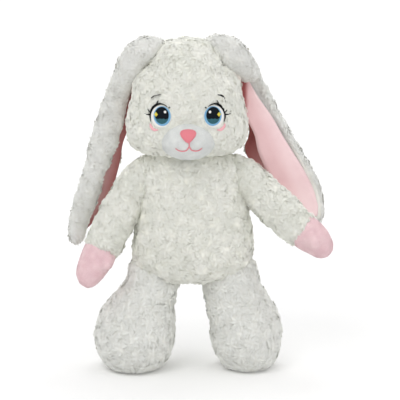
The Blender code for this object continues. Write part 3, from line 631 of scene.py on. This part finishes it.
EAR_RIGHT = [
    ((22, 396.5), (10, 385), 2), ((40, 395.5), (24, 374), 3), ((54, 391), (33, 362), 4),
    ((63, 380), (41, 354), 6), ((72, 368), (50, 349), 7), ((82, 343), (58, 341), 9),
    ((93, 324), (61, 322), 10), ((106.5, 298), (67, 300), 11), ((119.5, 276), (75, 279), 12),
    ((132.5, 254), (80, 258), 12),
    ((144, 234), (88, 238), 12), ((154, 212), (101, 217), 12), ((158, 192), (115, 194), 12),
    ((157.5, 175), (132, 176), 12), ((153, 166), (142, 166), 12),
]
LINING_RIGHT = [
    ((60, 350), (56, 346)), ((66, 341), (54, 334)), ((78, 321), (54, 318)), ((93, 300), (62, 299)),
    ((107.5, 275), (72.5, 278)), ((120, 255), (77, 258)), ((132, 236), (85, 239)), ((144, 213), (97, 217)),
    ((150.5, 194), (115, 195)), ((150, 178), (132, 176)),
]
LOBE_RIGHT = [
    ((72, 300), (62, 300)), ((80, 283), (67, 284)), ((86, 273), (66, 273)), ((90, 262), (62, 263)),
    ((96, 250), (64, 251)), ((102, 238), (74, 238)), ((108, 226), (88, 226)), ((114, 216), (104, 216)),
]


def edges(stations):
    """The outer and the inner edge of a table of stations."""
    return [s[0] for s in stations], [s[1] for s in stations]


def from_cad(name, nodes, voxel, smoothing=6):
    """The filled-in outer form of some CAD nodes."""
    return fused(joined(name, [frame["nodes"][n] for n in nodes]), voxel, smoothing)


def torso_form():
    levels = smooth_curve(TORSO, 24)
    rings = [oval((x, y, z), X, Y, half, deep, 28, 2.5) for z, x, half, y, deep in levels]
    return fused(loft("torso_fur", rings), VOXEL)


def leg_form(side):
    """A leg and its foot, with a crease across the front of the ankle."""
    levels = smooth_curve(LEGS[side], 26)
    rings = [oval((x, y, z), X, Y, half, deep, 24, 2.1) for z, x, half, y, deep in levels]
    leg = fused(loft(f"leg_fur_{side}", rings), VOXEL)
    p = design_points(leg)
    crease = ANKLE_HEIGHT + 0.0022 * (p[:, 0] - ANKLE_X[side]) ** 2
    p[:, 1] += 2.6 * rising(p[:, 1], -18, -30) * hump(p[:, 2], crease, 3.2)
    return reshaped(leg, world(p))


def head_form():
    """The stuffed head, a little flatter on top and fuller in the cheeks than its pattern."""
    head = from_cad("head_fur", ["head_skin", "head_filling"], VOXEL)
    p = design_points(head)
    p[:, 2] -= 2.2 * rising(p[:, 2], 355, 395)  # flatter crown
    away = np.sign(p[:, 0] - HEAD_X)
    p[:, 0] -= away * 3.5 * hump(p[:, 2], 318, 26) * rising(abs(p[:, 0] - HEAD_X), 30, 55)  # temples
    across = p[:, 0] - HEAD_X
    p[:, 0] += np.sign(across) * 5.0 * hump(p[:, 2], 268, 10) * rising(abs(across), 0, 40)  # cheeks
    under_ears = rising(abs(across), 22, 40) * rising(p[:, 2], 338, 360)
    p[:, 1] += 26 * under_ears * rising(p[:, 1], 6, -24)
    p[:, 2] -= 6.5 * rising(p[:, 2], 292, 258) * rising(p[:, 1], 17, -13)  # fuller chin
    return reshaped(head, world(p))


def limb(name, stations, count=18, steps=16):
    """A round-ended body swept along a limb."""
    middles = smooth_curve([s[0] for s in stations], steps)
    sizes = smooth_curve([s[1:] for s in stations], steps)
    rings = []
    for i, (m, (half, deep)) in enumerate(zip(middles, sizes)):
        ahead = middles[min(i + 1, steps - 1)] - middles[max(i - 1, 0)]
        along = ahead / np.linalg.norm(ahead)
        across = np.cross(along, Y)
        across /= np.linalg.norm(across)
        front = np.cross(across, along)
        rings.append(oval(m, across, front, half, deep, count))
    return loft(name, rings)


def pad(name, outer, inner, depths, thick):
    """A flat pad between an outer and an inner edge, thick in the middle."""
    steps = 40
    o, i = smooth_curve(outer, steps), smooth_curve(inner, steps)
    d = np.interp(np.linspace(0, 1, steps), np.linspace(0, 1, len(depths)), depths)
    rings = []
    for k in range(steps):
        a, b = np.array([o[k][0], d[k], o[k][1]]), np.array([i[k][0], d[k], i[k][1]])
        across = b - a
        half = np.linalg.norm(across) / 2
        rings.append(oval((a + b) / 2, across / (2 * half), Y, half, min(thick, half), 16))
    return loft(name, rings)


def strip(name, outer, inner, depth):
    """A sheet of cloth 1 mm thick between two edges, with depth(along, across)."""
    steps, columns = 40, 9
    o, i = smooth_curve(outer, steps), smooth_curve(inner, steps)
    points, faces = [], []
    for k in range(steps):
        for c in range(columns):
            s = c / (columns - 1)
            x, z = o[k] * (1 - s) + i[k] * s
            points.append((x, depth(k / (steps - 1), s), z))
    for k in range(steps - 1):
        for c in range(columns - 1):
            q = k * columns + c
            faces.append((q, q + 1, q + columns + 1, q + columns))
    made = mesh_of(name, world(points), faces)
    shell = made.modifiers.new("cloth", "SOLIDIFY")
    shell.thickness = 1.0 * MM
    shell.offset = 0.0
    baked(made)
    made.data.shade_smooth()
    return made


def ear_forms():
    """The ears' plush backs: the left hangs with its rear fold showing, the right opens to the front."""
    outer, inner = edges(EAR_LEFT)
    front = pad("front", outer, inner, [s[2] - 3 for s in EAR_LEFT], 8.0)
    rear = pad("rear", *edges(EAR_LEFT_REAR), [1, 7, 14, 20, 24, 27, 28, 28, 28], 5.0)
    left = fused(joined("ear_fur_left", [front, rear]), 3.0, 5)
    outer, inner = edges(EAR_RIGHT)
    back = pad("back", outer, inner, [s[2] + 8 for s in EAR_RIGHT], 6.0)
    roll_edge = [(o[0] * 0.77 + i[0] * 0.23, o[1] * 0.77 + i[1] * 0.23) for o, i in zip(outer, inner)]
    roll = pad("roll", outer[3:], roll_edge[3:], [s[2] + 2 for s in EAR_RIGHT[3:]], 7.0)
    top = pad("top", outer[:6], inner[:6], [-12, -19, -22, -18, -8, 6], 9.0)
    lobe = pad("lobe", *edges(LOBE_RIGHT), [26, 28, 29, 29, 26], 5.0)
    right = fused(joined("ear_fur_right", [back, roll, top, lobe]), 3.0, 5)
    return {"left": left, "right": right}


# ---------------------------------------------------------------- build


def above_floor(points):
    """The pile at the foot of a leg is pressed short by the toy's weight."""
    return rising(points[:, 2], 0.001, 0.008)


def face_reach(points):
    """No pile under the muzzle, and pressed short round the stitched eyes."""
    p = points / MM - MIDLINE
    front = p[:, 1] < -20
    muzzle = np.hypot((p[:, 0] - HEAD_X) / 29.5, (p[:, 2] - 276.5) / 21.5)
    reach = np.where(front & (muzzle < 1), 0.0, 1.0)
    for side in (-1, 1):
        eye = np.hypot((p[:, 0] - HEAD_X - side * 30.2) / 13.4, (p[:, 2] - EYE_Z) / 14.0)
        near = rising(eye, 0.85, 1.55)
        reach = np.where(front, reach * np.where(eye < 0.85, 0.0, 0.45 + 0.55 * near), reach)
    return reach


def paint_fold_shade(obj, level):
    """Paints shade where the cloth turns away into a fold, deeper and redder in the fold: level(x, z) is 1
    where it lies open.
    """
    p = design_points(obj)
    lit_share = np.clip(level(p[:, 0], p[:, 2]), 0, 1)[:, None]
    painted_light_and_tone = obj.data.attributes.new("painted_light_and_tone", "FLOAT_COLOR", "POINT")
    colours = np.ones((len(p), 4), np.float32)
    # painted shade, redder as it darkens
    colours[:, :3] = lit_share ** np.array([0.9, 1.7, 1.75])
    painted_light_and_tone.data.foreach_set("color", colours.ravel())


def linings():
    """The ears' pink cloth. Returns points on it, for the pink reflection painted on the pile near it."""
    rear_outer, rear_inner = edges(EAR_LEFT_REAR)
    outer = [(x + 9, z) for x, z in rear_outer[2:]]
    inner = [(x + (3 if z > 280 else 0), z) for x, z in rear_inner[2:]]
    left = strip("lining_left", outer, inner,
                 lambda a, s: float(np.interp(a, [0, 0.15, 0.35, 0.6, 1], [6.5, 11.5, 16.5, 20.5, 22.0])))
    right = strip("lining_right", *edges(LINING_RIGHT),
                  lambda a, s: 4.5 + 2.0 * math.sin(math.pi * s) - 2.0 * s + 7.5 * a)
    lobe = strip("lining_lobe_right", *edges(LOBE_RIGHT), lambda a, s: 21.5)
    edge_z, edge_x = np.array([(z, x) for x, z in rear_inner[::-1]]).T

    # Painted shade: the left lining darkens towards its edge by the head and towards its top, the right
    # lining along its edge by the head, and the lobe towards the head.
    def left_fold_light(x, z):
        from_edge = np.interp(z, edge_z, edge_x) - x
        return 0.36 + 0.52 * rising(from_edge, 0, 16) * rising(z, 310, 270)

    def right_fold_light(x, z):
        from_cheek = x - 62 - 0.45 * (345 - z)
        return 0.9 + 0.1 * rising(from_cheek, -8.4, 5.6) - 0.6 * rising(x, 65, 61) * rising(z, 296, 311)

    def lobe_fold_light(x, z):
        return 0.32 + 0.55 * rising(x + (262 - z) * 0.5, 66, 108)

    paint_fold_shade(left, left_fold_light)
    paint_fold_shade(right, right_fold_light)
    paint_fold_shade(lobe, lobe_fold_light)
    for obj, side in ((left, "left"), (right, "right"), (lobe, "right")):
        obj.data.materials.append(LINING_PINK)
        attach(obj, f"ear_{side}")
        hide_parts(f"ear_lining_{side}")
    return np.concatenate([arrays(obj.data)[0] for obj in (left, right, lobe)])[::3]


def tail():
    obj = from_cad("tail_fur", ["tail_skin", "tail_filling"], 3.0, 3)
    pile(obj, IVORY, 6.0, 1800, whorl=11)
    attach(obj, "torso")
    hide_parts("tail_skin", "tail_filling")


def label():
    """The blank tape curls a little where it leaves the seam."""
    low, high = (np.array(c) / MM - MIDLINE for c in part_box("care_label"))
    steps, hem, curl = 8, 1, 1.6
    points, faces = [], []
    for k in range(steps + 1):
        s = k / steps
        x, y = high[0] + (low[0] - high[0]) * s, low[1] + (high[1] - low[1]) * s
        for z in (low[2] + hem, high[2] - hem):
            points.append((x + curl * math.sin(s * 2.6), y, z))
    for k in range(steps):
        faces.append((2 * k, 2 * k + 2, 2 * k + 3, 2 * k + 1))
    obj = mesh_of("label_tape", world(points), faces)
    shell = obj.modifiers.new("tape", "SOLIDIFY")
    shell.thickness = 0.8 * MM
    baked(obj)
    obj.data.materials.append(TAPE)
    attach(obj, "torso")
    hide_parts("care_label")


def soles():
    """Flat cloth panels that the toy stands on, rolled a little at their seams."""
    for side in SIDES:
        low, high = (np.array(c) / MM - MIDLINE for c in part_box(f"sole_panel_{side}"))
        middle, half = (low + high) / 2, (high - low) / 2
        rings = [oval((middle[0], middle[1], z), X, Y, half[0] - inset, half[1] - inset, 32)
                 for z, inset in ((0.0, 7.5), (0.4, 6.6), (1.4, 6.0), (3.2, 6.4), (4.4, 8.0))]
        obj = loft(f"sole_cloth_{side}", rings)
        obj.data.materials.append(SOLE)
        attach(obj, f"leg_{side}")
        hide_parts(f"sole_panel_{side}")


def build():
    torso = torso_form()
    head = head_form()
    legs = {s: leg_form(s) for s in SIDES}
    arms = {s: fused(limb(f"arm_fur_{s}", ARMS[s]), VOXEL) for s in SIDES}
    paws = {}
    for s in SIDES:
        thumb = limb("thumb", THUMBS[s], 12, 8)
        paws[s] = fused(joined(f"paw_{s}", [limb("hand", PAWS[s]), thumb]), 2.5, 3)
    inflate([torso, head, *legs.values(), *arms.values(), *paws.values()])
    ears = ear_forms()
    co, _, tris = arrays(head.data)
    head_tree = BVHTree.FromPolygons([tuple(p) for p in co], [tuple(t) for t in tris])

    pink = linings()
    pile(torso, IVORY, 7.0, 12000, relief=3.0, near_pink=pink)
    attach(torso, "torso")
    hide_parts("torso_skin", "torso_filling")

    pile(head, IVORY, 6.5, 12000, reach=face_reach, whorl=14, relief=2.3, near_pink=pink)
    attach(head, "head")
    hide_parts("head_skin", "head_filling", "neck_filling")

    def clear_of_pink(points):
        return rising(nearest(points, pink)[1], 3.5 * MM, 8.5 * MM)

    for s in SIDES:
        pile(legs[s], COOL, 7.5, 9500, whorl=15, relief=2.6, reach=above_floor, floor=0.0006)
        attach(legs[s], f"leg_{s}")
        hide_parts(f"leg_skin_{s}", f"leg_filling_{s}")
        pile(arms[s], IVORY, 7.0, 5500, whorl=14, relief=2.7, near_pink=pink)
        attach(arms[s], f"arm_{s}")
        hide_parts(f"arm_sleeve_{s}", f"arm_filling_{s}", f"shoulder_filling_{s}")
        pile(paws[s], PAW_PINK, 2.2, 7000, whorl=9, relief=0.15, width=0.6, lean=0.8)
        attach(paws[s], f"arm_{s}")
        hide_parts(f"paw_mitt_{s}")
        pile(ears[s], WHITE, 6.0, 9000, whorl=15, relief=2.2, reach=clear_of_pink)
        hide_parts(f"ear_plush_{s}")
        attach(ears[s], f"ear_{s}")
    face(head_tree)
    tail()
    label()
    soles()


# ---------------------------------------------------------------- face

MUZZLE = np.array([-6.6, -58.0, 277.0])
MUZZLE_RADII = np.array([31.2, 28.0, 23.0])
MUZZLE_TAPER = 0.1  # how much narrower the muzzle is at its top

# Eyes: the way out from the nose, and the middle x
EYES = {"left": (-1, -37.1), "right": (1, 23.3)}
PUPIL_WAVE = [(-7, -1.6), (-4.5, -2.9), (-2, -1.9), (0, -2.6), (2, -1.9), (4.5, -2.9), (7, -1.6)]
SPARK = [(-2.4, 0), (-1.0, 1.5), (0, 2.8), (1.0, 1.5), (2.4, 0), (1.0, -1.5), (0, -2.8), (-1.0, -1.5)]
# Lines of stitch: points from the eye's middle, outwards and up, then the widths along them
LASH = [(12.0, -6.0), (12.9, -1), (12.2, 4.3), (10.0, 9.4), (5.9, 13.1), (1.4, 14.6), (-3.4, 13.7),
        (-7.0, 11.3)]
LASH_WIDTHS = [0.6, 1.4, 2.1, 2.7, 2.7, 1.9, 1.0, 0.4]
SPIKES = [
    ([(12.8, 2.2), (16.2, 2.0), (19.4, 2.8)], [2.0, 1.3, 0.5]),
    ([(12.6, 4.6), (14.6, 6.4), (15.6, 8.4)], [1.8, 1.2, 0.5]),
    ([(5.0, 14.4), (4.4, 16.6), (3.2, 18.4)], [1.8, 1.2, 0.5]),
    ([(-8.6, 9.6), (-9.6, 10.6), (-10.4, 11.0)], [1.3, 1.4, 0.6]),
]
BROWS = {
    "left": ([(11.6, 20.6), (8, 23.4), (3.8, 24.4), (0, 25.0)], [0.8, 1.1, 0.5, 1.1, 0.6]),
    "right": ([(12.6, 20.2), (10.4, 22.6), (7.6, 24.2), (4.2, 24.7)], [1.2, 1.8, 1.7, 0.8]),
}
BLUSH = [(12.6, -8.2), (11.6, -12.0), (8.0, -15.4), (3.4, -15.2)]
BLUSH_WIDTHS = [0.8, 3.2, 3.4, 0.8]
# Nose and mouth: x from their middle, and height
NOSE_X = MUZZLE[0] + 0.5
MOUTH_X = NOSE_X + 1.2
HALF_NOSE = [(0, 291.6), (5.2, 291.0), (8.2, 289.6), (9.4, 286.9), (8.2, 283.5), (5.3, 279.9), (2.5, 277.2)]
NOSE_FOOT = 276.1
LIP = [(0, 276.8), (0, 274.0), (0, 271.3)]
LIP_WIDTHS = [1.6, 1.3, 1.3]
SMILE = [(-15.8, 269.8), (-12.2, 267.3), (-7.0, 266.5), (-2.8, 267.9), (0, 271.5), (2.8, 267.9), (7.6, 266.7),
         (11.8, 267.7), (14.6, 270.0)]
SMILE_WIDTHS = [0.8, 1.3, 1.3, 1.3, 1.3, 1.3, 0.8]
STITCH_PROFILE = [(-1.0, -1.4), (-0.95, 0.0), (-0.5, 0.8), (0.0, 1.0), (0.5, 0.8), (0.95, 0.0), (1.0, -1.4)]


def muzzle_depth(x, z):
    across, up = (x - MUZZLE[0]) / MUZZLE_RADII[0], (z - MUZZLE[2]) / MUZZLE_RADII[2]
    across /= 1 - MUZZLE_TAPER * up
    return MUZZLE[1] - MUZZLE_RADII[1] * math.sqrt(max(1 - across**2 - up**2, 0.02))


def stitched(name, points, faces, thread):
    made = mesh_of(name, world(points), faces)
    made.data.shade_smooth()
    made.data.materials.append(thread)
    return made


def patch(name, outline, depth, lift, dome, thread, rings=5):
    """A stitched patch on a face surface: domed, with its edge pressed in."""
    skirt = 1.6
    outline = np.array(outline, float)
    middle = outline.mean(0)
    count = len(outline)
    points = [(middle[0], depth(*middle) - lift - dome, middle[1])]
    for k in range(1, rings + 1):
        share = math.sin(math.pi / 2 * k / rings)
        for x, z in middle + (outline - middle) * share:
            points.append((x, depth(x, z) - lift - dome * math.sqrt(max(1 - share**2, 0)), z))
    for x, z in outline:
        points.append((x, depth(x, z) - lift + skirt, z))
    faces = [(0, 1 + i, 1 + (i + 1) % count) for i in range(count)]
    for k in range(rings):
        for i in range(count):
            j = (i + 1) % count
            a = 1 + k * count
            faces.append((a + i, a + count + i, a + count + j, a + j))
    return stitched(name, points, faces, thread)


def ellipse(x, z, half, tall, start=0.0, stop=360.0, count=28):
    angles = [math.radians(start + (stop - start) * i / count) for i in range(count)]
    return [(x + half * math.cos(a), z + tall * math.sin(a)) for a in angles]


def band(name, line, widths, depth, lift, height, thread, count=20):
    """A raised line of satin stitch through points on a face surface."""
    path = smooth_curve(line, count)
    wide = np.interp(np.linspace(0, 1, count), np.linspace(0, 1, len(widths)), widths)
    points, faces = [], []
    for k in range(count):
        way = path[min(k + 1, count - 1)] - path[max(k - 1, 0)]
        way /= np.linalg.norm(way)
        across = np.array([-way[1], way[0]]) * wide[k] / 2
        for s, rise in STITCH_PROFILE:
            x, z = path[k] + across * s
            points.append((x, depth(x, z) - lift - rise * height, z))
    n = len(STITCH_PROFILE)
    for k in range(count - 1):
        for i in range(n - 1):
            a = k * n + i
            faces.append((a, a + 1, a + n + 1, a + n))
    return stitched(name, points, faces, thread)


def on_head(obj, slot, *nodes):
    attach(obj, "head")
    if nodes:
        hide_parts(*nodes)


def eye(side, depth):
    """One eye's stacked stitch fields, its lashes, its brow and the blush below it."""
    out, x = EYES[side]
    z = EYE_Z

    def field(kind, outline, lift, dome, thread, slot, node, rings=5):
        made = patch(f"stitch_{kind}_{side}", outline, depth, lift, dome, thread, rings)
        on_head(made, slot, f"{node}_{side}")

    def line(name, points, widths, lift, height, thread, count=20):
        placed = [(x + out * a, z + b) for a, b in points]
        return band(name, placed, widths, depth, lift, height, thread, count)

    iris = ellipse(x - out * 1.2, z + 0.7, 10.0, 11.3)
    pupil_x, pupil_z = x - out * 0.8, z + 0.6
    glow = ellipse(pupil_x, pupil_z, 7.9, 8.9)
    pupil = ellipse(pupil_x, pupil_z + 1.2, 8.0, 9.4, -18, 198, 20)
    pupil += [(pupil_x + a, z + b) for a, b in PUPIL_WAVE]
    glint = ellipse(x - out * 4.6, z + 5.6, 1.5, 1.6, count=12)
    spark = [(x + out * 5.9 + a, z + 2.6 + b) for a, b in SPARK]
    field("white", ellipse(x, z, 11.8, 12.7), 1.4, 0.5, WHITE_THREAD, "white_thread", "eye_white")
    field("iris", iris, 2.0, 0.6, BLUE_THREAD, "blue_thread", "eye_iris")
    field("teal", glow, 2.7, 0.5, TEAL_THREAD, "teal_thread", "eye_glow")
    field("pupil", pupil, 3.2, 0.4, NAVY_THREAD, "navy_thread", "eye_pupil")
    field("glint", glint, 3.9, 0.3, WHITE_THREAD, "white_thread", "eye_glint", 2)
    field("spark", spark, 3.9, 0.3, YELLOW_THREAD, "yellow_thread", "eye_spark", 2)
    lash = line(f"stitch_lash_{side}", LASH, LASH_WIDTHS, 1.4, 0.7, BLACK_THREAD)
    on_head(lash, "black_thread", f"eye_lash_{side}")
    for i, (points, widths) in enumerate(SPIKES):
        spike = line(f"stitch_spike_{side}_{i}", points, widths, 1.5, 0.5, BLACK_THREAD, 8)
        on_head(spike, "black_thread")
    brow = line(f"stitch_brow_{side}", *BROWS[side], 2.4, 0.5, BLACK_THREAD)
    on_head(brow, "black_thread", f"eye_brow_{side}")
    blush = line(f"stitch_blush_{side}", BLUSH, BLUSH_WIDTHS, 1.7, 0.4, BLUSH_THREAD)
    on_head(blush, "blush_thread", f"eye_blush_{side}")


def muzzle_form():
    """An egg lying on its side, narrower at its top."""
    steps, count = 18, 36
    rings = []
    for k in range(1, steps):
        polar = math.pi * k / steps
        ring = []
        for i in range(count):
            turn = 2 * math.pi * i / count
            up = math.sin(polar) * math.sin(turn)
            across = math.sin(polar) * math.cos(turn) * (1 - MUZZLE_TAPER * up)
            ring.append(MUZZLE + MUZZLE_RADII * np.array([across, -math.cos(polar), up]))
        rings.append(ring)
    return fused(loft("muzzle_plush_form", rings), 2.2, 3)


def face(head_tree):
    """The stitching lies on the head as it was before its pile, and on the muzzle."""
    def depth(x, z):
        hit = head_tree.ray_cast(Vector(world((x, -300.0, z))), Vector((0, 1, 0)))[0]
        return hit.y / MM - MIDLINE[1] if hit else -40.0

    for side in SIDES:
        eye(side, depth)
    muzzle = muzzle_form()
    pile(muzzle, SMOOTH_WHITE, 1.6, 7000, whorl=9, relief=0.12, width=0.55, lean=0.9)
    on_head(muzzle, "short_pile", "muzzle")
    right_half = [(NOSE_X + a, b) for a, b in HALF_NOSE]
    left_half = [(NOSE_X - a, b) for a, b in HALF_NOSE[:0:-1]]
    outline = right_half + [(NOSE_X, NOSE_FOOT)] + left_half
    nose = patch("stitch_nose", outline, muzzle_depth, 0.6, 2.4, CORAL_THREAD, 7)
    on_head(nose, "pink_thread", "nose")
    for name, points, widths, count, node in (("stitch_lip", LIP, LIP_WIDTHS, 10, "lip_stitch"),
                                              ("stitch_mouth", SMILE, SMILE_WIDTHS, 40, "mouth_stitch")):
        placed = [(MOUTH_X + a, b) for a, b in points]
        on_head(band(name, placed, widths, muzzle_depth, 0.5, 0.5, CORAL_THREAD, count), "pink_thread", node)


build()
frame["nodes"]["closing_thread"].data.materials.clear()
frame["nodes"]["closing_thread"].data.materials.append(SEAM)

# ---------------------------------------------------------------- stage

scene = bpy.context.scene
scene.view_settings.view_transform = "Standard"
PAPER_WHITE = (1.0, 1.0, 1.0, 1.0)
OPEN_WHITE = 1.1  # bright enough to show as plain white
SHADE_FROM, SHADE_TO = 0.3, 0.9  # metres from the toy over which the floor fades to plain white


def backdrop():
    """A pale floor that takes the toy's shadow and fades to plain white away from it."""
    bpy.ops.mesh.primitive_plane_add(size=6.0, location=(0, 0, 0))
    floor = bpy.context.object
    floor.name = "floor"
    card = fabric("backdrop", (0.91, 0.91, 0.91), (0.92, 0.92, 0.92), 3)
    nodes, links = card.node_tree.nodes, card.node_tree.links
    shader = nodes["Principled BSDF"]
    shader.inputs["Emission Color"].default_value = PAPER_WHITE
    shader.inputs["Emission Strength"].default_value = 0.05
    place = nodes.new("ShaderNodeNewGeometry")
    from_toy = nodes.new("ShaderNodeVectorMath")
    from_toy.operation = "LENGTH"
    links.new(place.outputs["Position"], from_toy.inputs[0])
    fade = nodes.new("ShaderNodeMapRange")
    fade.interpolation_type = "SMOOTHSTEP"
    fade.inputs["From Min"].default_value = SHADE_FROM
    fade.inputs["From Max"].default_value = SHADE_TO
    links.new(from_toy.outputs["Value"], fade.inputs["Value"])
    plain = nodes.new("ShaderNodeEmission")
    plain.inputs["Strength"].default_value = OPEN_WHITE
    faded = nodes.new("ShaderNodeMixShader")
    links.new(fade.outputs["Result"], faded.inputs["Fac"])
    links.new(shader.outputs["BSDF"], faded.inputs[1])
    links.new(plain.outputs["Emission"], faded.inputs[2])
    links.new(faded.outputs["Shader"], nodes["Material Output"].inputs["Surface"])
    floor.data.materials.append(card)


def studio():
    """Plain white to the camera, and a softer white light on the toy."""
    sky = bpy.data.worlds.new("studio")
    scene.world = sky
    sky.use_nodes = True
    nodes, links = sky.node_tree.nodes, sky.node_tree.links
    seen = nodes["Background"]
    glow = nodes.new("ShaderNodeBackground")
    for light, strength in ((seen, OPEN_WHITE), (glow, 0.84)):
        light.inputs["Color"].default_value = PAPER_WHITE
        light.inputs["Strength"].default_value = strength
    path = nodes.new("ShaderNodeLightPath")
    either = nodes.new("ShaderNodeMixShader")
    links.new(path.outputs["Is Camera Ray"], either.inputs["Fac"])
    links.new(glow.outputs["Background"], either.inputs[1])
    links.new(seen.outputs["Background"], either.inputs[2])
    links.new(either.outputs["Shader"], nodes["World Output"].inputs["Surface"])


def aimed(name, data, place, aim):
    """A lamp or camera at place, turned towards aim."""
    made = bpy.data.objects.new(name, data)
    scene.collection.objects.link(made)
    made.location = place
    made.rotation_euler = (Vector(aim) - Vector(place)).to_track_quat("-Z", "Y").to_euler()
    return made


def lamp(name, place, size, power):
    light = bpy.data.lights.new(name, "AREA")
    light.size = size
    light.energy = power
    aimed(name, light, place, (0, 0, 0.2))


def camera():
    distance, pitch, view_width = 1.6, math.radians(8), 0.48
    lens = bpy.data.cameras.new("camera")
    lens.sensor_width = 36.0
    lens.lens = lens.sensor_width * distance / view_width
    lens.clip_end = 100
    aim = Vector((-0.001, 0.0, 0.2))
    place = aim + Vector((0, -math.cos(pitch), math.sin(pitch))) * distance
    scene.camera = aimed("camera", lens, place, aim)


backdrop()
studio()
lamp("key", (-0.6, -1.1, 1.6), 0.9, 6.8)
lamp("fill", (1.2, -1.0, 0.9), 1.2, 2.2)
lamp("crown", (0.1, 0.55, 1.5), 0.7, 4)
camera()
